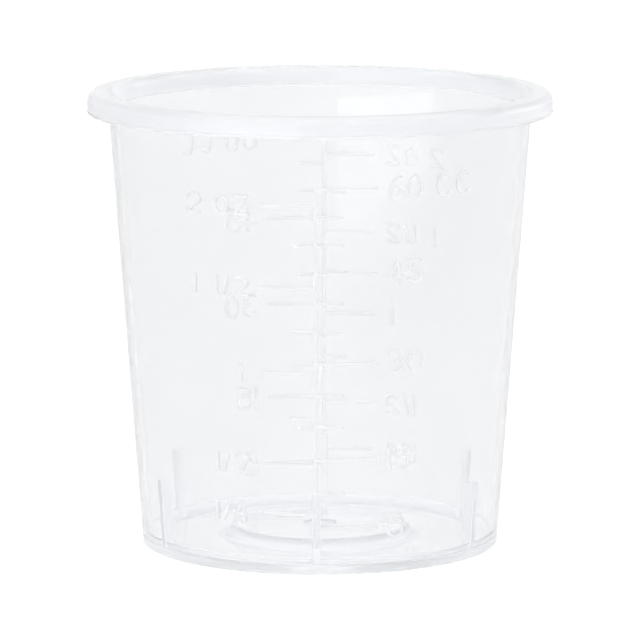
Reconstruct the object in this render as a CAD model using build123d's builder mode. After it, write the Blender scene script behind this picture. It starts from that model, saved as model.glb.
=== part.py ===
"""Graduated medicine cup, moulded in one piece from clear polypropylene, for measured doses of up to 60 ml.

Millimetres, +Z up, origin on the standing face at the cup's axis. The wall, the floor and the turned-down lip
are one revolved section. Six ribs low on the inside keep stacked cups from jamming. Two like scales stand out
of the wall, one towards -Y and one towards +Y, and each mark is at the level where the cup holds its volume.
"""
import os
from math import pi, radians, tan

from build123d import *

# Overall sizes
cup_height = 52.0
rim_diameter = 53.0
base_diameter = 40.6

# Wall and floor
wall_thickness = 0.8
floor_thickness = 0.9
floor_corner_radius = 1.2
standing_edge_radius = 0.3

# Turned-down lip, measured from the wall's outer face and from the brim
lip_overhang = 2.5
lip_drop = 2.3
lip_thickness = 0.7
lip_crown_thickness = 0.8
lip_draft = 3.5
crown_outer_radius = 0.9
crown_inner_radius = 0.8
lip_groove_radius = 0.35
lip_edge_radius = 0.12

# Raised disc in the middle of the floor, hollow underneath
disc_diameter = 20.0
disc_height = 1.2
disc_side_run = 0.8
disc_foot_radius = 0.5
disc_edge_radius = 0.3
recess_edge_radius = 0.2

# Marks that the gate leaves at the centre of the disc
gate_dimple_diameter = 3.8
gate_dimple_depth = 0.2
gate_stub_diameter = 1.6
gate_stub_height = 0.4

# Stacking ribs
rib_count = 6
rib_width = 1.0
rib_depth = 1.0
rib_top = 8.8
rib_edge_radius = 0.2

# Scales: marks for millilitres and for quarters of a fluid ounce, longer where they have a number
scale_relief = 0.15
scale_root = 0.2
line_width = 0.45
line_bottom = 3.2
mark_width = 0.35
mark_to_lip = 1.0
millilitre_marks = range(5, 61, 5)
numbered_millilitres = (5, 15, 30, 45, 60)
long_millilitre_mark = 6.7
short_millilitre_mark = 3.0
quarter_ounce_marks = range(1, 9)
numbered_quarter_ounces = (1, 2, 4, 6, 8)
long_ounce_mark = 5.9
short_ounce_mark = 2.6
millilitre = 1000.0
quarter_ounce = 28413.0 / 4

# Sizes that follow from those above
lip_bottom = cup_height - lip_drop
taper = (rim_diameter / 2 - lip_overhang - base_diameter / 2) / lip_bottom
lip_flare = tan(radians(lip_draft)) * lip_drop
lip_outer_radius = rim_diameter / 2
lip_inner_radius = lip_outer_radius - lip_thickness
crown_underside = cup_height - lip_crown_thickness
disc_top = floor_thickness + disc_height
disc_foot_diameter = disc_diameter + 2 * disc_side_run
recess_top = disc_top - floor_thickness
recess_diameter = disc_diameter - floor_thickness
recess_foot_diameter = recess_diameter + 2 * disc_side_run


def wall_outside(height):
    """Radius of the wall's outer face at a height above the standing face."""
    return base_diameter / 2 + taper * height


def wall_inside(height):
    """Radius of the wall's inner face at a height above the standing face."""
    return wall_outside(height) - wall_thickness


def cone_volume(height, low_radius, high_radius):
    """Volume of a cone cut off flat at both ends."""
    return pi / 3 * height * (low_radius ** 2 + low_radius * high_radius + high_radius ** 2)


def held_volume(level):
    """Volume that the cup holds up to a level: the wall's cone, less the raised disc and the ribs in it."""
    inside = cone_volume(level - floor_thickness, wall_inside(floor_thickness), wall_inside(level))
    disc = cone_volume(disc_height, disc_foot_diameter / 2, disc_diameter / 2)
    ribs = rib_count * rib_width * rib_depth * (min(level, rib_top) - floor_thickness)
    return inside - disc - ribs


def fill_level(volume):
    """Level at which the cup holds a volume, found by halving the span between the disc and the brim."""
    low, high = disc_top, cup_height
    while high - low > 0.001:
        middle = (low + high) / 2
        if held_volume(middle) < volume:
            low = middle
        else:
            high = middle
    return middle


def levels(marks, unit):
    """Level of each mark that comes clear of the lip's lower edge."""
    found = {mark: fill_level(mark * unit) for mark in marks}
    return {mark: level for mark, level in found.items() if level < lip_bottom - mark_to_lip}


# One rib, standing on the floor against the wall, with its root inside both
with BuildPart() as rib:
    with BuildSketch(Plane.XZ):
        with BuildLine():
            root = wall_thickness / 2
            low = floor_thickness / 2
            Polyline(
                (wall_inside(low) - rib_depth, low),
                (wall_inside(low) + root, low),
                (wall_inside(rib_top) + root, rib_top),
                (wall_inside(rib_top) - rib_depth, rib_top),
                close=True,
            )
        make_face()
    extrude(amount=rib_width / 2, both=True)
    fillet(rib.faces().sort_by(Axis.X)[0].edges(), rib_edge_radius)

# The scale that reads towards -Y: its line and marks, cut from the skin that lies on the wall
with BuildPart() as scale:
    millilitre_levels = levels(millilitre_marks, millilitre)
    ounce_levels = levels(quarter_ounce_marks, quarter_ounce)
    line_top = max(millilitre_levels.values()) + mark_width / 2
    with BuildSketch(Plane.XZ):
        with Locations((0, line_bottom)):
            Rectangle(line_width, line_top - line_bottom, align=(Align.CENTER, Align.MIN))
        for mark, level in millilitre_levels.items():
            length = long_millilitre_mark if mark in numbered_millilitres else short_millilitre_mark
            with Locations((0, level)):
                Rectangle(length, mark_width, align=(Align.MIN, Align.CENTER))
        for mark, level in ounce_levels.items():
            length = long_ounce_mark if mark in numbered_quarter_ounces else short_ounce_mark
            with Locations((0, level)):
                Rectangle(length, mark_width, align=(Align.MAX, Align.CENTER))
    extrude(amount=rim_diameter / 2)
    with BuildSketch(Plane.XZ):
        with BuildLine():
            Polyline(
                (wall_outside(0) - scale_root, 0),
                (wall_outside(0) + scale_relief, 0),
                (wall_outside(lip_bottom) + scale_relief, lip_bottom),
                (wall_outside(lip_bottom) - scale_root, lip_bottom),
                close=True,
            )
        make_face()
    revolve(axis=Axis.Z, mode=Mode.INTERSECT)

with BuildPart() as cup:
    # Half section from the axis: standing face, outer wall, lip, crown, inner wall, floor and raised disc
    with BuildSketch(Plane.XZ) as section:
        recess_corner = (recess_diameter / 2, recess_top)
        recess_foot = (recess_foot_diameter / 2, 0)
        standing_corner = (base_diameter / 2, 0)
        groove_at_wall = (wall_outside(crown_underside), crown_underside)
        groove_at_lip = (lip_inner_radius - lip_flare, crown_underside)
        lip_inner_edge = (lip_inner_radius, lip_bottom)
        lip_outer_edge = (lip_outer_radius, lip_bottom)
        crown_outer_corner = (lip_outer_radius - lip_flare, cup_height)
        crown_inner_corner = (wall_inside(cup_height), cup_height)
        floor_corner = (wall_inside(floor_thickness), floor_thickness)
        disc_foot = (disc_foot_diameter / 2, floor_thickness)
        disc_edge = (disc_diameter / 2, disc_top)
        with BuildLine():
            Polyline(
                (0, recess_top),
                recess_corner,
                recess_foot,
                standing_corner,
                groove_at_wall,
                groove_at_lip,
                lip_inner_edge,
                lip_outer_edge,
                crown_outer_corner,
                crown_inner_corner,
                floor_corner,
                disc_foot,
                disc_edge,
                (0, disc_top),
                close=True,
            )
        make_face()
        rounded_corners = {
            recess_corner: recess_edge_radius,
            recess_foot: recess_edge_radius,
            standing_corner: standing_edge_radius,
            groove_at_wall: lip_groove_radius,
            groove_at_lip: lip_groove_radius,
            lip_inner_edge: lip_edge_radius,
            lip_outer_edge: lip_edge_radius,
            crown_outer_corner: crown_outer_radius,
            crown_inner_corner: crown_inner_radius,
            floor_corner: floor_corner_radius,
            disc_foot: disc_foot_radius,
            disc_edge: disc_edge_radius,
        }
        for corner, radius in rounded_corners.items():
            fillet(section.vertices().sort_by_distance(corner)[0], radius)
    revolve(axis=Axis.Z)

    # Shallow dimple above the gate, and the stub of the gate in the recess below
    with BuildSketch(Plane.XY.offset(disc_top)):
        Circle(gate_dimple_diameter / 2)
    extrude(amount=-gate_dimple_depth, mode=Mode.SUBTRACT)
    with BuildSketch(Plane.XY.offset(recess_top)):
        Circle(gate_stub_diameter / 2)
    extrude(amount=-gate_stub_height)

    # Ribs evenly round the floor, one of them towards -Y, and the two scales
    with PolarLocations(0, rib_count, start_angle=-90):
        add(rib.part)
    with PolarLocations(0, 2):
        add(scale.part)

cup.part.label = "cup"
os.makedirs("parts", exist_ok=True)
export_step(cup.part, "parts/cup.step")
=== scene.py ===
"""Graduated medicine cup in clear, slightly milky polypropylene, standing on a white studio floor.

Metres, +Z up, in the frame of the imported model. The cup is one closed surface: a section turned round its
axis, united with its stacking ribs and with the raised strokes of its two dose scales.
"""
from math import pi, radians, tan

import bpy
import numpy as np
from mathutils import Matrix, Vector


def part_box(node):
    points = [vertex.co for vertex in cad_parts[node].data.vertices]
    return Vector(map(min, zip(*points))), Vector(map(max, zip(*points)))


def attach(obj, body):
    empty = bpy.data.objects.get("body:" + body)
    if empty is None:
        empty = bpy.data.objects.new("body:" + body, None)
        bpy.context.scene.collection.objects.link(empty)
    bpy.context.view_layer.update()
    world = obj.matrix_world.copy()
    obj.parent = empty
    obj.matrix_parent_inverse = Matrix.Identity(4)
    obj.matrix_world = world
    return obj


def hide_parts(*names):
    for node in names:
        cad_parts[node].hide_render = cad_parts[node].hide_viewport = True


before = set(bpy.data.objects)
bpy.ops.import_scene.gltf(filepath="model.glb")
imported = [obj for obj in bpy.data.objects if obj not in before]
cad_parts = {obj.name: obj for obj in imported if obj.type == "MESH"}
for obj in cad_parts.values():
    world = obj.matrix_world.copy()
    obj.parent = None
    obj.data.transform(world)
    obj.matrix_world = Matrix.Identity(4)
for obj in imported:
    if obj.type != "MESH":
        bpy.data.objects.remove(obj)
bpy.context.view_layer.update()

bl_info = {
    "name": "Medicine Cup",
    "version": (1, 0, 0),
    "blender": (4, 5, 0),
    "location": "3D View > Sidebar > Cup",
    "description": "Builds a graduated medicine cup with its dose scales, its plastic and a white studio",
    "category": "Add Mesh",
}

MM = 0.001
TINY = 1e-6
cup_low, cup_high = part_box("cup")

# Marks on each scale, and the numerals beside the long ones
millilitre_numerals = {5: "5", 15: "15", 30: "30", 45: "45", 60: "60 CC"}
quarter_ounce_numerals = {1: "1/4", 2: "1/2", 4: "1", 6: "1 1/2", 8: "2 OZ"}
millilitre_marks = range(5, 61, 5)
quarter_ounce_marks = range(1, 9)

# Cubic metres in a millilitre and in a quarter of a fluid ounce
millilitre = 1000 * MM ** 3
quarter_ounce = 28413 / 4 * MM ** 3


def length(name, millimetres, description):
    """A size that is shown as a length, given here in millimetres."""
    return bpy.props.FloatProperty(
        name=name, description=description, default=millimetres * MM, min=0, precision=5, unit="LENGTH"
    )


def share(name, value, description, low=0.0, high=1.0):
    """A plain number between two limits."""
    return bpy.props.FloatProperty(
        name=name, description=description, default=value, min=low, max=high, precision=4
    )


def angle(name, degrees, description):
    """An angle, given here in degrees."""
    return bpy.props.FloatProperty(
        name=name, description=description, default=radians(degrees), subtype="ANGLE"
    )


def colour(name, value, description):
    """A linear colour."""
    return bpy.props.FloatVectorProperty(
        name=name, description=description, default=value, size=3, min=0, max=1, subtype="COLOR"
    )


def metres(name, value, description):
    """A place or a pair of sides, in metres."""
    return bpy.props.FloatVectorProperty(
        name=name, description=description, default=value, size=len(value), precision=3, unit="LENGTH"
    )


class CupSizes(bpy.types.PropertyGroup):
    """Sizes of the moulded cup."""

    height: length("Height", (cup_high.z - cup_low.z) / MM, "From the standing face to the top of the lip")
    rim_diameter: length("Rim diameter", (cup_high.x - cup_low.x) / MM, "Across the lip's lower edge")
    base_diameter: length("Base diameter", 40.6, "Across the wall at the standing face")
    wall: length("Wall", 0.8, "Thickness of the wall")
    floor: length("Floor", 0.9, "Thickness of the floor and of the raised disc")
    standing_edge: length("Standing edge", 0.3, "Radius between the standing face and the wall")
    floor_corner: length("Floor corner", 1.2, "Radius between the floor and the inside of the wall")
    lip_overhang: length("Lip overhang", 2.5, "From the wall's outer face to the lip's outer face")
    lip_drop: length("Lip drop", 2.3, "Height of the turned-down lip")
    lip_thickness: length("Lip thickness", 0.7, "Thickness of the lip's skirt")
    lip_draft: angle("Lip draft", 3.5, "Lean of the lip's skirt")
    lip_edge: length("Lip edge", 0.12, "Radius of the skirt's lower edges")
    lip_groove: length("Lip groove", 0.35, "Radius of the two corners under the lip")
    crown: length("Crown", 0.8, "Thickness of the lip's top")
    crown_outside: length("Crown outside", 0.9, "Radius of the lip's outer top edge")
    crown_inside: length("Crown inside", 0.8, "Radius of the lip's inner top edge")
    disc_diameter: length("Disc diameter", 20.0, "Across the raised disc in the floor")
    disc_height: length("Disc height", 1.2, "Rise of the disc above the floor")
    disc_run: length("Disc side run", 0.8, "How far the disc's side leans outwards")
    disc_foot: length("Disc foot", 0.5, "Radius between the floor and the disc's side")
    disc_edge: length("Disc edge", 0.3, "Radius of the disc's top edge")
    recess_edge: length("Recess edge", 0.2, "Radius of the corners of the recess under the disc")
    dimple_diameter: length("Dimple diameter", 3.8, "Across the shallow dimple above the gate")
    dimple_depth: length("Dimple depth", 0.2, "Depth of that dimple")
    dimple_edge: length("Dimple edge", 0.08, "Radius of that dimple's edges")
    stub_diameter: length("Stub diameter", 1.6, "Across the gate's stub in the recess")
    stub_height: length("Stub height", 0.4, "How far the stub stands out")
    stub_edge: length("Stub edge", 0.1, "Radius of the stub's edges")
    ribs: bpy.props.IntProperty(name="Ribs", description="Stacking ribs round the inside", default=6, min=0)
    rib_width: length("Rib width", 1.0, "Width of a stacking rib")
    rib_depth: length("Rib depth", 1.0, "How far a rib stands out from the wall")
    rib_top: length("Rib top", 8.8, "Height of a rib's top above the standing face")
    rib_edge: length("Rib edge", 0.2, "Radius of a rib's edges")
    columns: bpy.props.IntProperty(name="Columns", description="Faces round the cup", default=240, min=24)


class ScaleSizes(bpy.types.PropertyGroup):
    """Sizes of the raised dose scales."""

    relief: length("Relief", 0.15, "How far a stroke stands out from the wall")
    root: length("Root", 0.2, "How deep a stroke's root lies in the wall")
    line_width: length("Line width", 0.45, "Width of the upright line")
    line_bottom: length("Line bottom", 3.2, "Lower end of the upright line")
    stroke_width: length("Stroke width", 0.35, "Width of the marks and numerals")
    long_millilitre: length("Long millilitre mark", 6.7, "Length of a numbered millilitre mark")
    short_millilitre: length("Short millilitre mark", 3.0, "Length of a plain millilitre mark")
    long_ounce: length("Long ounce mark", 5.9, "Length of a numbered ounce mark")
    short_ounce: length("Short ounce mark", 2.6, "Length of a plain ounce mark")
    millilitre_start: length("Millilitre numerals", 8.15, "From the line to a numeral's first stroke")
    ounce_start: length("Ounce numerals", 7.6, "From the line to a numeral's last stroke")
    millilitre_height: length("Millilitre height", 2.45, "Height between a numeral's stroke centres")
    ounce_height: length("Ounce height", 2.05, "Height between a numeral's stroke centres")
    numeral_width: length("Numeral width", 1.4, "Width between a numeral's stroke centres")
    numeral_gap: length("Numeral gap", 0.75, "Between the stroke centres of two characters")
    word_gap: length("Word gap", 1.75, "Between the stroke centres of two words")


class Plastic(bpy.types.PropertyGroup):
    """Finish of the plastic."""

    tint: colour("Tint", (0.990, 0.993, 1.0), "Colour of the light that a face lets through")
    cloud: colour("Cloud", (0.985, 0.989, 0.998), "Tint where the plastic is a little milkier")
    milk: colour("Milk", (0.975, 0.985, 1.0), "Colour of the light that the plastic scatters")
    depth: colour("Depth tint", (0.2, 0.23, 0.28), "Colour that thick plastic takes on")
    density: share("Density", 0.7, "How fast thick plastic takes on its tint, per metre", 0, 1000)
    index: share("Index", 1.49, "Refractive index", 1, 3)
    veil: share("Veil", 0.15, "Share of the light that the plastic scatters at each face")
    drift: share("Drift", 0.4, "How much the soft clouds vary the veil")
    frost: share("Frost", 0.3, "How much more the raised strokes scatter than the wall does")
    thick: share("Thick", 0.3, "How much more the thick lip scatters than the wall does")
    foot: share("Foot", 0.4, "How much more the ribs and the thick edge of the floor scatter")
    disc: share("Disc", 0.3, "How much more the side of the raised disc scatters than the wall does")
    gloss: share("Roughness", 0.04, "Roughness of the polished faces")
    least_gloss: share("Least roughness", 0.02, "The roughness never falls below this")
    flow: share("Flow", 0.06, "Strength of the flow lines from the gate")
    flow_height: length("Flow height", 0.2, "Height of the flow lines at full strength")
    flow_gloss: share("Flow in gloss", 0.03, "How much the flow lines change the roughness")
    grain_gloss: share("Grain in gloss", 0.02, "How much the fine grain changes the roughness")
    grain_height: share("Grain height", 0.02, "Height of the fine grain beside that of the flow lines")
    cloud_scale: share("Cloud scale", 60.0, "Soft clouds in a metre", 0, 10000)
    flow_scale: share("Flow scale", 5.0, "How closely the flow lines lie round the gate", 0, 10000)
    flow_stretch: share("Flow stretch", 8.0, "How fast the flow lines change on their way out", 0, 1000)
    grain_scale: share("Grain scale", 1400.0, "Grains in a metre", 0, 10000)


class Studio(bpy.types.PropertyGroup):
    """Camera, floor and light."""

    lens: share("Lens", 313.1, "Focal length in millimetres on a 36 mm sensor", 1, 5000)
    distance: length("Distance", 628.63, "From the cup's axis to the camera, along the floor")
    camera_height: length("Camera height", 126.34, "Height of the camera above the floor")
    pitch: angle("Pitch", 9.1076, "How far the camera looks down")
    azimuth: angle("Azimuth", 1.26, "How far round the cup the camera stands, to its right")
    floor_reach: length("Floor reach", 3000.0, "From the cup's axis to the floor's edges")
    floor_drop: length("Floor drop", 0.02, "How far the floor lies below the standing face")
    floor_shade: share("Floor shade", 0.86, "Share of the light on it that the floor scatters")
    floor_white: share("Floor white", 1.12, "Level of the floor's own white to the camera", 0, 10)
    ground: share("Ground", 0.985, "Level of the floor's own white to every other ray", 0, 10)
    camera_share: share("Camera share", 0.8, "Share of own white in the floor that the camera sees")
    clear_share: share("Clear share", 0.95, "Share of own white that shows in gloss and clear plastic")
    light_share: share("Light share", 0.5, "Share of own white for the light's own rays")
    ambient: share("Ambient", 0.88, "Level of the light from all round", 0, 10)
    horizon: share("Horizon", 1.0, "Level that gloss and glass show at the horizon", 0, 10)
    zenith: share("Zenith", 1.2, "Level that gloss and glass show overhead", 0, 10)
    side: share("Side", 0.08, "How much brighter the right is than the middle", 0, 10)
    dusk: share("Dusk", 0.5, "How much darker the far left is than the middle", 0, 10)
    side_reach: length("Side reach", 600.0, "From the cup to where the floor's level stops changing")
    key: share("Key light", 2.0, "Power of the soft box in front, in watts", 0, 1000)
    key_place: metres("Key light's place", (-0.5, -0.62, 0.225), "Middle of the soft box in front")
    key_sides: metres("Key light's sides", (0.95, 0.39), "Width and height of the soft box in front")
    edge: share("Edge light", 1.0, "Power of the soft box behind, in watts", 0, 1000)
    edge_place: metres("Edge light's place", (0.7, 0.5, 0.25), "Middle of the soft box behind")
    edge_sides: metres("Edge light's sides", (0.4, 0.5), "Width and height of the soft box behind")
    bounces: bpy.props.IntProperty(
        name="Bounces", description="Bounces of light, many because milk absorbs little", default=48, min=0
    )


class Tree:
    """A node tree. A node is added with its settings first and its sockets' values or links next."""

    def __init__(self, owner):
        owner.use_nodes = True
        self.tree = owner.node_tree
        self.tree.nodes.clear()

    def add(self, kind, inputs=None, **settings):
        """Adds a node and returns it. inputs holds a value or a Socket for each socket's name or number."""
        node = self.tree.nodes.new(kind)
        for name, value in settings.items():
            setattr(node, name, value)
        for key, value in (inputs or {}).items():
            if isinstance(value, Socket):
                self.tree.links.new(value.output, node.inputs[key])
            else:
                node.inputs[key].default_value = value
        return node

    def socket(self, kind, inputs=None, output=0, **settings):
        """Adds a node and returns one of its outputs as a Socket."""
        return Socket(self, self.add(kind, inputs, **settings).outputs[output])

    def maths(self, operation, *values):
        """A Math node's result."""
        return self.socket("ShaderNodeMath", dict(enumerate(values)), operation=operation)

    def mix(self, factor, first, second):
        """A colour between two colours, each four numbers or a Socket."""
        inputs = {"Factor": factor, 6: first, 7: second}
        return self.socket("ShaderNodeMix", inputs, 2, data_type="RGBA")

    def noise(self, vector, scale, detail):
        """Smooth noise from 0 to 1 about 0.5."""
        return self.socket("ShaderNodeTexNoise", {"Vector": vector, "Scale": scale, "Detail": detail})

    def parts(self, vector):
        """The X, Y and Z of a vector."""
        node = self.add("ShaderNodeSeparateXYZ", {"Vector": vector})
        return [Socket(self, output) for output in node.outputs]

    def coordinates(self, kind):
        """One of Texture Coordinate's outputs."""
        return self.socket("ShaderNodeTexCoord", output=kind)


class Socket:
    """An output whose arithmetic adds Math nodes, so that an expression builds its own part of the tree."""

    def __init__(self, tree, output):
        self.tree = tree
        self.output = output

    def __add__(self, other):
        return self.tree.maths("ADD", self, other)

    def __sub__(self, other):
        return self.tree.maths("SUBTRACT", self, other)

    def __rsub__(self, other):
        return self.tree.maths("SUBTRACT", other, self)

    def __mul__(self, other):
        return self.tree.maths("MULTIPLY", self, other)

    def __truediv__(self, other):
        return self.tree.maths("DIVIDE", self, other)

    def __pow__(self, other):
        return self.tree.maths("POWER", self, other)

    def __abs__(self):
        return self.tree.maths("ABSOLUTE", self)

    def clamped(self, low=0.0, high=1.0):
        """The value held between two limits."""
        return self.tree.maths("MINIMUM", self.tree.maths("MAXIMUM", self, low), high)

    __radd__ = __add__
    __rmul__ = __mul__


def opaque(rgb):
    """A colour with full alpha, as a colour socket takes it."""
    return (*rgb, 1.0)


def rise(value, over):
    """A mask that climbs evenly from 0, where the value is 0, to 1, where the value is over."""
    return (value / over).clamped()


def wall_taper(sizes):
    """How much the wall's radius grows for its height, from the base to the lip's lower edge."""
    lip_bottom = sizes.height - sizes.lip_drop
    return (sizes.rim_diameter / 2 - sizes.lip_overhang - sizes.base_diameter / 2) / lip_bottom


def wall_radius(sizes, height):
    """Radius of the wall's outer face at a height: the base's radius, plus the taper times the height."""
    return sizes.base_diameter / 2 + wall_taper(sizes) * height


def cone_volume(height, low_radius, high_radius):
    """Volume of a cone cut off flat at both ends."""
    return pi / 3 * height * (low_radius ** 2 + low_radius * high_radius + high_radius ** 2)


def held_volume(sizes, level):
    """Volume held up to a level: the wall's inner cone, less the raised disc and the ribs in it."""
    bottom = wall_radius(sizes, sizes.floor) - sizes.wall
    top = wall_radius(sizes, level) - sizes.wall
    inside = cone_volume(level - sizes.floor, bottom, top)
    disc_foot, disc_top = sizes.disc_diameter / 2 + sizes.disc_run, sizes.disc_diameter / 2
    disc = cone_volume(sizes.disc_height, disc_foot, disc_top)
    rib_height = np.minimum(level, sizes.rib_top) - sizes.floor
    return inside - disc - sizes.ribs * sizes.rib_width * sizes.rib_depth * rib_height


def fill_levels(sizes, volumes, samples=2000):
    """Level at which the cup holds each volume, read back from the volumes at closely spaced levels."""
    level = np.linspace(sizes.floor + sizes.disc_height, sizes.height, samples)
    return np.interp(volumes, held_volume(sizes, level), level)


def rounded(corners, steps=7):
    """Points and headings along an open line through the corners, each given as x, y and its arc's radius.

    An arc leaves the line radius times the tangent of half the turn before its corner, and its heading turns
    evenly from one side's to the next. The two ends stay as they are.
    """
    points = np.array([corner[:2] for corner in corners], float)
    radius = np.array([corner[2] for corner in corners[1:-1]], float)
    side = np.diff(points, axis=0)
    heading = np.unwrap(np.arctan2(side[:, 1], side[:, 0]))
    turn = np.diff(heading)
    reach = radius * np.tan(np.abs(turn) / 2)
    along = side / np.linalg.norm(side, axis=1)[:, None]
    start = points[1:-1] - along[:-1] * reach[:, None]
    theta = heading[:-1, None] + turn[:, None] * np.linspace(0, 1, steps)
    signed = (radius * np.sign(turn))[:, None]
    x = start[:, :1] + signed * (np.sin(theta) - np.sin(theta[:, :1]))
    y = start[:, 1:] - signed * (np.cos(theta) - np.cos(theta[:, :1]))
    x = np.concatenate([points[:1, 0], x.ravel(), points[-1:, 0]])
    y = np.concatenate([points[:1, 1], y.ravel(), points[-1:, 1]])
    theta = np.concatenate([heading[:1], theta.ravel(), heading[-1:]])
    return x, y, theta


def subdivided(x, y, theta, longest):
    """The same line with more points on its straights, spaced evenly and no further apart than longest."""
    run = np.concatenate([[0], np.cumsum(np.hypot(np.diff(x), np.diff(y)))])
    spans = zip(run[:-1], run[1:])
    parts = [np.linspace(a, b, int(np.ceil((b - a) / longest)) + 1)[:-1] for a, b in spans if b > a]
    station = np.append(np.concatenate(parts), run[-1])
    keep = np.append(np.diff(run) > 0, True)
    run, x, y, theta = run[keep], x[keep], y[keep], theta[keep]
    return [np.interp(station, run, values) for values in (x, y, theta)]


def grid_faces(rows, columns):
    """Quads between the rows of a grid of vertices, whose last column is joined to its first."""
    row, column = np.mgrid[0:rows - 1, 0:columns]
    following = (column + 1) % columns
    corners = [row * columns + column, row * columns + following,
               (row + 1) * columns + following, (row + 1) * columns + column]
    return np.stack(corners, -1).reshape(-1, 4)


def closed_object(name, grid, low_end, high_end):
    """A mesh object from a grid whose rows are closed loops, with a fan about a point at each end."""
    rows, columns = grid.shape[:2]
    count = rows * columns
    first = np.arange(columns)
    following = (first + 1) % columns
    last = count - columns
    low = np.stack([following, first, np.full_like(first, count)], 1)
    high = np.stack([last + first, last + following, np.full_like(first, count + 1)], 1)
    faces = grid_faces(rows, columns).tolist() + low.tolist() + high.tolist()
    return new_object(name, np.concatenate([grid.reshape(-1, 3), [low_end, high_end]]), faces)


def new_object(name, vertices, faces):
    """A mesh object at the origin."""
    mesh = bpy.data.meshes.new(name)
    mesh.from_pydata(vertices.tolist(), [], faces)
    mesh.shade_smooth()
    piece = bpy.data.objects.new(name, mesh)
    bpy.context.scene.collection.objects.link(piece)
    return piece


def remember_normals(mesh, normals):
    """Stores a direction for each face corner, which a union carries over to the faces that it cuts."""
    attribute = mesh.attributes.new("surface_normal", "FLOAT_VECTOR", "CORNER")
    attribute.data.foreach_set("vector", np.asarray(normals, np.float32).ravel())


def cup_section(sizes):
    """Half section of the cup from its axis below to its axis above: stub, recess, standing face, wall, lip,
    crown, inner wall, floor, raised disc and dimple, each corner with the radius of its arc.
    """
    lip_bottom = sizes.height - sizes.lip_drop
    flare = tan(sizes.lip_draft) * sizes.lip_drop
    lip_outer = sizes.rim_diameter / 2
    lip_inner = lip_outer - sizes.lip_thickness
    under_crown = sizes.height - sizes.crown
    disc_top = sizes.floor + sizes.disc_height
    recess_radius = (sizes.disc_diameter - sizes.floor) / 2
    dimple_bottom = disc_top - sizes.dimple_depth
    stub_bottom = sizes.disc_height - sizes.stub_height
    stub = sizes.stub_diameter / 2
    dimple = sizes.dimple_diameter / 2
    return [
        (0, stub_bottom, 0),
        (stub, stub_bottom, sizes.stub_edge),
        (stub, sizes.disc_height, sizes.stub_edge),
        (recess_radius, sizes.disc_height, sizes.recess_edge),
        (recess_radius + sizes.disc_run, 0, sizes.recess_edge),
        (sizes.base_diameter / 2, 0, sizes.standing_edge),
        (wall_radius(sizes, under_crown), under_crown, sizes.lip_groove),
        (lip_inner - flare, under_crown, sizes.lip_groove),
        (lip_inner, lip_bottom, sizes.lip_edge),
        (lip_outer, lip_bottom, sizes.lip_edge),
        (lip_outer - flare, sizes.height, sizes.crown_outside),
        (wall_radius(sizes, sizes.height) - sizes.wall, sizes.height, sizes.crown_inside),
        (wall_radius(sizes, sizes.floor) - sizes.wall, sizes.floor, sizes.floor_corner),
        (sizes.disc_diameter / 2 + sizes.disc_run, sizes.floor, sizes.disc_foot),
        (sizes.disc_diameter / 2, disc_top, sizes.disc_edge),
        (dimple, disc_top, sizes.dimple_edge),
        (dimple, dimple_bottom, sizes.dimple_edge),
        (0, dimple_bottom, 0),
    ]


def turned_cup(sizes, longest_face=2 * MM):
    """The section turned once round the axis, closed by a single vertex at each end of the axis.

    A vertex is (radius cos a, radius sin a, height), and its normal is the section's heading turned a right
    angle clockwise, carried round by the same angle a.
    """
    radius, height, heading = subdivided(*rounded(cup_section(sizes)), longest_face)
    around = np.linspace(0, 2 * pi, sizes.columns, endpoint=False)
    ring = radius[1:-1, None]
    grid = np.stack([ring * np.cos(around), ring * np.sin(around), height[1:-1, None] + 0 * around], -1)
    piece = closed_object("cup_body", grid, [0, 0, height[0]], [0, 0, height[-1]])
    outward, upward = np.sin(heading)[:, None], -np.cos(heading)[:, None]
    ring_normals = np.stack([outward * np.cos(around), outward * np.sin(around), upward + 0 * around], -1)
    normals = np.concatenate([ring_normals[1:-1].reshape(-1, 3), [[0, 0, -1], [0, 0, 1]]])
    corner = np.zeros(len(piece.data.loops), int)
    piece.data.loops.foreach_get("vertex_index", corner)
    remember_normals(piece.data, normals[corner])
    return piece


def capped(name, grid, sharp=50):
    """A closed piece whose ends are fans about their middles, with edges sharp from that many degrees."""
    piece = closed_object(name, grid, grid[0].mean(0), grid[-1].mean(0))
    piece.data.set_sharp_from_angle(angle=radians(sharp))
    normals = np.zeros(len(piece.data.loops) * 3, np.float32)
    piece.data.corner_normals.foreach_get("vector", normals)
    remember_normals(piece.data, normals)
    return piece


def rib(sizes, azimuth, top_points=5):
    """A stacking rib: a bar with rounded inner edges that follows the wall up from inside the floor.

    Its plan is carried up the wall's inner face, and draws in along a quarter circle at its top.
    """
    edge = sizes.rib_edge
    half, root, inner = sizes.rib_width / 2, sizes.wall / 2, -sizes.rib_depth
    plan = [(-half, root, 0), (-half, inner, edge), (half, inner, edge), (half, root, 0)]
    across, depth, _ = rounded(plan)
    turn = np.linspace(0, pi / 2, top_points)
    top = sizes.rib_top - edge + edge * np.sin(turn)
    height = np.concatenate([[sizes.floor / 2, sizes.rib_top / 2], top])
    inset = np.concatenate([[0, 0], edge * (1 - np.cos(turn))])[:, None]
    sideways = across * (1 - inset / half)
    wall_inside = (wall_radius(sizes, height) - sizes.wall)[:, None]
    outward = wall_inside + np.maximum(depth, inset - sizes.rib_depth)
    x = outward * np.cos(azimuth) - sideways * np.sin(azimuth)
    y = outward * np.sin(azimuth) + sideways * np.cos(azimuth)
    return capped("rib", np.stack([x, y, height[:, None] + 0 * x], -1)[:, ::-1])


def line(start, end, steps=2):
    """A straight run in even steps."""
    return np.linspace(np.array(start, float), np.array(end, float), steps + 1)


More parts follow.
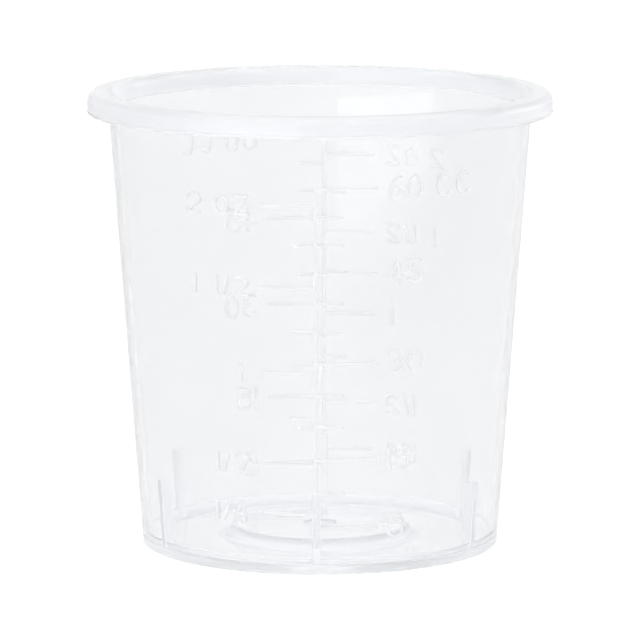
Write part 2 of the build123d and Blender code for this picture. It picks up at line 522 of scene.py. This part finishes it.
def arc(centre, radii, start, end, step=18, fewest=4):
    """Part of an upright ellipse between two angles in degrees, against the clock, in equal steps."""
    points = max(fewest, int(abs(end - start) / step) + 1)
    turn = np.radians(np.linspace(start, end, points))
    return np.stack([centre[0] + radii[0] * np.cos(turn), centre[1] + radii[1] * np.sin(turn)], 1)


def glyph(character):
    """Strokes of a character in a box one unit wide and high, and the share of the full width it takes."""
    loop = [arc((0.5, 0.5), (0.5, 0.5), 90, 270), arc((0.5, 0.5), (0.5, 0.5), -90, 90)]
    shapes = {
        "0": (loop, 1.0),
        "O": (loop, 1.0),
        "C": ([arc((0.5, 0.5), (0.5, 0.5), 50, 310)], 1.0),
        "Z": ([line((0, 1), (1, 1)), line((1, 1), (0, 0)), line((0, 0), (1, 0))], 1.0),
        "/": ([line((0, 0), (1, 1))], 0.36),
        "1": ([line((0, 0), (0, 1))], 0.0),
        "2": ([np.concatenate([arc((0.5, 0.72), (0.5, 0.28), 160, -30), [[0, 0]]]),
               line((0, 0), (1, 0))], 1.0),
        "3": ([arc((0.45, 0.76), (0.45, 0.24), 150, -90), arc((0.45, 0.26), (0.55, 0.26), 90, -150)], 1.0),
        "4": ([line((0.7, 1), (0, 0.32)), line((0, 0.32), (1, 0.32)), line((0.7, 1), (0.7, 0))], 1.0),
        "5": ([line((0.9, 1), (0.12, 1)), line((0.12, 1), (0.06, 0.56)),
               arc((0.45, 0.33), (0.55, 0.33), 135, -150)], 1.0),
        "6": ([arc((0.95, 0.32), (0.95, 0.68), 95, 180), arc((0.5, 0.3), (0.5, 0.3), 0, 180),
               arc((0.5, 0.3), (0.5, 0.3), 180, 360)], 1.0),
    }
    return shapes[character]


def lettering(text, scale, height, start, level):
    """Strokes of a label, centred on its level. It begins at start, or ends there if start is to the left.

    A 1 is a bare stroke with no width, but one that stands alone has a numeral's width about it.
    """
    strokes, x = [], 0.0
    for word in text.split():
        margin = scale.numeral_width / 2 if word == "1" else 0.0
        x += margin
        for character in word:
            shapes, width = glyph(character)
            box = np.array([scale.numeral_width * width, height])
            strokes += [shape * box + [x, level - height / 2] for shape in shapes]
            x += box[0] + scale.numeral_gap
        x += margin + scale.word_gap - scale.numeral_gap
    shift = start if start > 0 else start - (x - scale.word_gap)
    return [stroke + [shift, 0] for stroke in strokes]


def scale_strokes(sizes, scale, mark_steps=6):
    """Every stroke of a scale, as its points across and up the wall and its width."""
    millilitre_levels = fill_levels(sizes, [mark * millilitre for mark in millilitre_marks])
    ounce_levels = fill_levels(sizes, [mark * quarter_ounce for mark in quarter_ounce_marks])
    strokes = [(line((0, scale.line_bottom), (0, max(millilitre_levels))), scale.line_width)]
    marks = []
    for mark, level in zip(millilitre_marks, millilitre_levels):
        reach = scale.long_millilitre if mark in millilitre_numerals else scale.short_millilitre
        marks.append(line((0, level), (reach, level), mark_steps))
        text = millilitre_numerals.get(mark, "")
        marks += lettering(text, scale, scale.millilitre_height, scale.millilitre_start, level)
    for mark, level in zip(quarter_ounce_marks, ounce_levels):
        reach = scale.long_ounce if mark in quarter_ounce_numerals else scale.short_ounce
        marks.append(line((0, level), (-reach, level), mark_steps))
        text = quarter_ounce_numerals.get(mark, "")
        marks += lettering(text, scale, scale.ounce_height, -scale.ounce_start, level)
    return strokes + [(points, scale.stroke_width) for points in marks]


def ridge(sizes, scale, points, width, facing, end_degrees=(78, 52, 26), arc_points=9):
    """A raised stroke on the wall: half an ellipse above a sunk root, carried along it with round ends.

    A point lies across and up the wall as drawn, and as far from the axis as the wall there plus its height
    above the wall. facing is -1 for the scale that reads towards -Y and 1 for its twin, half round the axis.
    """
    half = width / 2
    along = np.gradient(points, axis=0)
    along /= np.linalg.norm(along, axis=1)[:, None]
    turn = np.radians(end_degrees)
    before = points[0] - along[0] * half * np.sin(turn)[:, None]
    after = points[-1] + along[-1] * half * np.sin(turn[::-1])[:, None]
    path = np.concatenate([before, points, after])
    extra = len(turn)
    along = np.concatenate([np.repeat(along[:1], extra, 0), along, np.repeat(along[-1:], extra, 0)])
    narrow = np.concatenate([np.cos(turn), np.ones(len(points)), np.cos(turn[::-1])])[:, None]
    sweep = np.linspace(0, pi, arc_points)
    across = np.concatenate([np.cos(sweep), [-1, 1]]) * half
    lift = np.concatenate([np.sin(sweep) * scale.relief, [0, 0]])
    sunk = np.concatenate([0 * sweep, [1, 1]]) * -scale.root
    side = np.stack([-along[:, 1], along[:, 0]], 1)
    flat = path[:, None, :] + side[:, None, :] * (across * narrow)[..., None]
    outward = wall_radius(sizes, flat[..., 1]) + lift * narrow + sunk
    depth = np.sqrt(outward ** 2 - flat[..., 0] ** 2)
    return capped("stroke", np.stack([-facing * flat[..., 0], facing * depth, flat[..., 1]], -1))


def milky_places(sizes, radius, z):
    """Masks of the places that scatter more light than the wall: the raised strokes, the thick lip, the foot
    (the ribs and the thick edge of the floor) and the side of the raised disc.

    A stroke stands out from the wall's cone, and a rib stands in from its inner face. Each mask fades over
    about a millimetre or less.
    """
    fade, stroke_fade, rib_fade, disc_fade = 0.5 * MM, 0.05 * MM, 0.1 * MM, 1.2 * MM
    disc_ceiling = 6 * MM
    lip_bottom = sizes.height - sizes.lip_drop
    base_radius = sizes.base_diameter / 2
    foot_inside = 0.87 * base_radius
    from_wall = radius - base_radius - z * wall_taper(sizes)
    strokes = rise(from_wall, stroke_fade) * rise(lip_bottom - z, MM)
    lip = rise(z - lip_bottom, fade)
    floor_edge = rise(1.5 * sizes.floor - z, fade)
    ribs = rise(0 - from_wall - sizes.wall, rib_fade) * rise(sizes.rib_top + MM - z, MM)
    foot = (floor_edge + ribs).clamped() * rise(radius - foot_inside, fade)
    from_disc = abs(radius - (sizes.disc_diameter + sizes.disc_run) / 2)
    disc = (1 - from_disc / disc_fade).clamped() * rise(disc_ceiling - z, MM)
    return strokes, lip, foot, disc


def plastic_material(finish, sizes):
    """Clear, slightly milky moulded plastic. At each face a share of the light, the veil, is scattered both
    ways, and the rest meets polished clear plastic that tints what it lets through.

    Soft clouds vary the tint and the veil, and the veil is thicker on the strokes, the lip, the foot and the
    disc's side. Faint flow lines run out from the gate and up the wall, and a fine grain roughens them.
    """
    material = bpy.data.materials.new("clear_polypropylene")
    tree = Tree(material)
    place = tree.coordinates("Object")
    x, y, z = tree.parts(place)
    radius = (x * x + y * y) ** 0.5 + TINY
    from_gate = (z + radius) * finish.flow_stretch
    direction = tree.socket("ShaderNodeCombineXYZ", {"X": x / radius, "Y": y / radius, "Z": from_gate})
    clouds = tree.noise(place, finish.cloud_scale, detail=3.0)
    flow = tree.noise(direction, finish.flow_scale, detail=3.0)
    grain = tree.noise(place, finish.grain_scale, detail=1.0)
    roughness = finish.gloss + (flow - 0.5) * finish.flow_gloss + (grain - 0.5) * finish.grain_gloss
    bump = tree.socket("ShaderNodeBump", {
        "Strength": finish.flow,
        "Distance": finish.flow_height,
        "Height": flow + grain * finish.grain_height,
    })
    clear = tree.socket("ShaderNodeBsdfPrincipled", {
        "Base Color": tree.mix(clouds, opaque(finish.tint), opaque(finish.cloud)),
        "Roughness": roughness.clamped(finish.least_gloss),
        "IOR": finish.index,
        "Transmission Weight": 1.0,
        "Normal": bump,
    })
    back = tree.socket("ShaderNodeBsdfDiffuse", {"Color": opaque(finish.milk)})
    forwards = tree.socket("ShaderNodeBsdfTranslucent", {"Color": opaque(finish.milk)})
    milk = tree.socket("ShaderNodeMixShader", {"Fac": 0.5, 1: back, 2: forwards})
    strokes, lip, foot, disc = milky_places(sizes, radius, z)
    veil = finish.veil * (1 + (clouds - 0.5) * finish.drift)
    veil = veil + strokes * finish.frost + lip * finish.thick + foot * finish.foot + disc * finish.disc
    surface = tree.socket("ShaderNodeMixShader", {"Fac": veil, 1: clear, 2: milk})
    inside = tree.socket("ShaderNodeVolumeAbsorption", {
        "Color": opaque(finish.depth),
        "Density": finish.density,
    })
    tree.add("ShaderNodeOutputMaterial", {"Surface": surface, "Volume": inside})
    return material


def ray_masks(tree):
    """Three masks, for rays from the camera, rays from a glossy or clear face, and the light's own rays."""
    path = tree.add("ShaderNodeLightPath").outputs
    camera, gloss, glass = (
        Socket(tree, path[name]) for name in ("Is Camera Ray", "Is Glossy Ray", "Is Transmission Ray")
    )
    seen = (camera + gloss + glass).clamped()
    return camera, seen - camera, 1 - seen


def side_light(across, studio):
    """What the right adds to a level and the far left takes from it. across is -1 at left and 1 at right. In
    the world this is light from the side; on the floor it is painted light towards the right and painted
    shade towards the far left.
    """
    left = (0 - across).clamped()
    return across * studio.side - left * left * studio.dusk


def floor_material(studio):
    """White floor that keeps the object's shadow. It is partly lit and partly white by itself, in a share
    and at a level that the kind of ray chooses. To every ray but the camera's, its own white carries painted
    shade towards the far left and painted light towards the right. From below it is clear.
    """
    material = bpy.data.materials.new("studio_floor")
    tree = Tree(material)
    camera, clear_face, light = ray_masks(tree)
    lit = tree.socket("ShaderNodeBsdfDiffuse", {"Color": opaque([studio.floor_shade] * 3)})
    x, _, _ = tree.parts(tree.coordinates("Object"))
    # Painted shade and light: away from the camera, the floor's own white is darker towards the far left and
    # brighter towards the right
    across = (x / studio.side_reach).clamped(-1.0)
    level = camera * studio.floor_white + (1 - camera) * (side_light(across, studio) + studio.ground)
    own = tree.socket("ShaderNodeEmission", {"Color": level, "Strength": 1.0})
    own_share = camera * studio.camera_share + clear_face * studio.clear_share
    own_share = own_share + light * studio.light_share
    both = tree.socket("ShaderNodeMixShader", {"Fac": own_share, 1: lit, 2: own})
    nothing = tree.socket("ShaderNodeBsdfTransparent")
    behind = tree.socket("ShaderNodeNewGeometry", output="Backfacing")
    surface = tree.socket("ShaderNodeMixShader", {"Fac": behind, 1: both, 2: nothing})
    tree.add("ShaderNodeOutputMaterial", {"Surface": surface})
    return material


def studio_world(studio):
    """White to the camera. Gloss and clear plastic see a level that rises from the horizon to overhead. The
    light's own rays see the ambient level. Both have the side light's change from left to right.
    """
    world = bpy.data.worlds.new("studio")
    tree = Tree(world)
    camera, clear_face, light = ray_masks(tree)
    across, _, height = tree.parts(tree.coordinates("Generated"))
    tent = studio.horizon + (studio.zenith - studio.horizon) * height.clamped()
    level = light * studio.ambient + clear_face * tent + (1 - camera) * side_light(across, studio) + camera
    background = tree.socket("ShaderNodeBackground", {"Color": level, "Strength": 1.0})
    tree.add("ShaderNodeOutputWorld", {"Surface": background})
    return world


def unite(body, parts):
    """Joins all parts to the body in one closed surface, shaded by the directions that each part kept."""
    group = bpy.data.collections.new("parts")
    bpy.context.scene.collection.children.link(group)
    for part in parts:
        group.objects.link(part)
    union = body.modifiers.new("union", "BOOLEAN")
    union.operation = "UNION"
    union.operand_type = "COLLECTION"
    union.collection = group
    union.solver = "MANIFOLD"
    seen = body.evaluated_get(bpy.context.evaluated_depsgraph_get())
    mesh = bpy.data.meshes.new_from_object(seen)
    body.modifiers.clear()
    body.data = mesh
    for part in parts:
        bpy.data.objects.remove(part)
    bpy.data.collections.remove(group)
    normals = np.zeros(len(mesh.loops) * 3, np.float32)
    mesh.attributes["surface_normal"].data.foreach_get("vector", normals)
    normals = normals.reshape(-1, 3)
    normals /= np.maximum(np.linalg.norm(normals, axis=1), TINY)[:, None]
    mesh.shade_smooth()
    mesh.normals_split_custom_set(normals.tolist())
    mesh.attributes.remove(mesh.attributes["surface_normal"])


def soft_box(name, place, sides, power):
    """A rectangular lamp that faces the cup and that the camera doesn't see."""
    lamp = bpy.data.lights.new(name, "AREA")
    lamp.shape = "RECTANGLE"
    lamp.size, lamp.size_y = sides
    lamp.energy = power
    box = bpy.data.objects.new(name, lamp)
    bpy.context.scene.collection.objects.link(box)
    box.location = place
    target = (cup_low + cup_high) / 2
    box.rotation_euler = (box.location - target).to_track_quat("Z", "Y").to_euler()
    box.visible_camera = False
    return box


def add_camera(scene, studio):
    """The camera, on a circle round the axis, looking at the axis and a little down."""
    data = bpy.data.cameras.new("camera")
    data.lens = studio.lens
    data.sensor_width = 36
    data.clip_start = 0.01
    camera = bpy.data.objects.new("camera", data)
    scene.collection.objects.link(camera)
    x = studio.distance * np.sin(studio.azimuth)
    y = -studio.distance * np.cos(studio.azimuth)
    camera.location = (x, y, studio.camera_height)
    camera.rotation_euler = (pi / 2 - studio.pitch, 0, studio.azimuth)
    scene.camera = camera


class CUP_OT_cup(bpy.types.Operator):
    """Build the moulded cup with its ribs and both dose scales"""

    bl_idname = "cup.cup"
    bl_label = "Moulded Cup"

    def execute(self, context):
        sizes, scale = context.scene.cup_sizes, context.scene.cup_scale
        body = turned_cup(sizes)
        turns = np.arange(sizes.ribs) * 2 * pi / sizes.ribs - pi / 2
        parts = [rib(sizes, turn) for turn in turns]
        for points, width in scale_strokes(sizes, scale):
            parts += [ridge(sizes, scale, points, width, facing) for facing in (-1, 1)]
        unite(body, parts)
        body.name = "medicine_cup"
        body.data.materials.clear()
        body.data.materials.append(plastic_material(context.scene.cup_plastic, sizes))
        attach(body, "root")
        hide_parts("cup")
        return {"FINISHED"}


class CUP_OT_studio(bpy.types.Operator):
    """Build the white floor, the soft light and the camera"""

    bl_idname = "cup.studio"
    bl_label = "Studio"

    def execute(self, context):
        scene, studio = context.scene, context.scene.cup_studio
        reach = studio.floor_reach
        corners = np.array([[-reach, -reach, 0], [reach, -reach, 0], [reach, reach, 0], [-reach, reach, 0]])
        floor = new_object("studio_floor", corners - [0, 0, studio.floor_drop], [[0, 1, 2, 3]])
        floor.data.materials.append(floor_material(studio))
        scene.world = studio_world(studio)
        soft_box("key_light", studio.key_place, studio.key_sides, studio.key)
        edge_light = soft_box("edge_light", studio.edge_place, studio.edge_sides, studio.edge)
        edge_light.visible_transmission = False
        add_camera(scene, studio)
        scene.view_settings.view_transform = "Standard"
        scene.cycles.max_bounces = studio.bounces
        scene.cycles.transmission_bounces = studio.bounces
        scene.cycles.glossy_bounces = studio.bounces
        scene.cycles.diffuse_bounces = studio.bounces
        scene.cycles.blur_glossy = 0
        return {"FINISHED"}


class CUP_PT_panel(bpy.types.Panel):
    """Lists the builders and their sizes"""

    bl_idname = "CUP_PT_panel"
    bl_label = "Medicine Cup"
    bl_space_type = "VIEW_3D"
    bl_region_type = "UI"
    bl_category = "Cup"

    def draw(self, context):
        for builder in (CUP_OT_cup, CUP_OT_studio):
            self.layout.operator(builder.bl_idname)
        for name, kind in property_groups.items():
            box = self.layout.box()
            for setting in kind.__annotations__:
                box.prop(getattr(context.scene, name), setting)


property_groups = {
    "cup_sizes": CupSizes,
    "cup_scale": ScaleSizes,
    "cup_plastic": Plastic,
    "cup_studio": Studio,
}
classes = (*property_groups.values(), CUP_OT_cup, CUP_OT_studio, CUP_PT_panel)


def register():
    """Registers every class and hangs the property groups on the scene."""
    for item in classes:
        bpy.utils.register_class(item)
    for name, group in property_groups.items():
        setattr(bpy.types.Scene, name, bpy.props.PointerProperty(type=group))


def unregister():
    """Takes everything away again."""
    for name in property_groups:
        delattr(bpy.types.Scene, name)
    for item in reversed(classes):
        bpy.utils.unregister_class(item)


def main():
    """Builds the cup and the studio."""
    register()
    bpy.ops.cup.cup()
    bpy.ops.cup.studio()


if __name__ == "__main__":
    main()
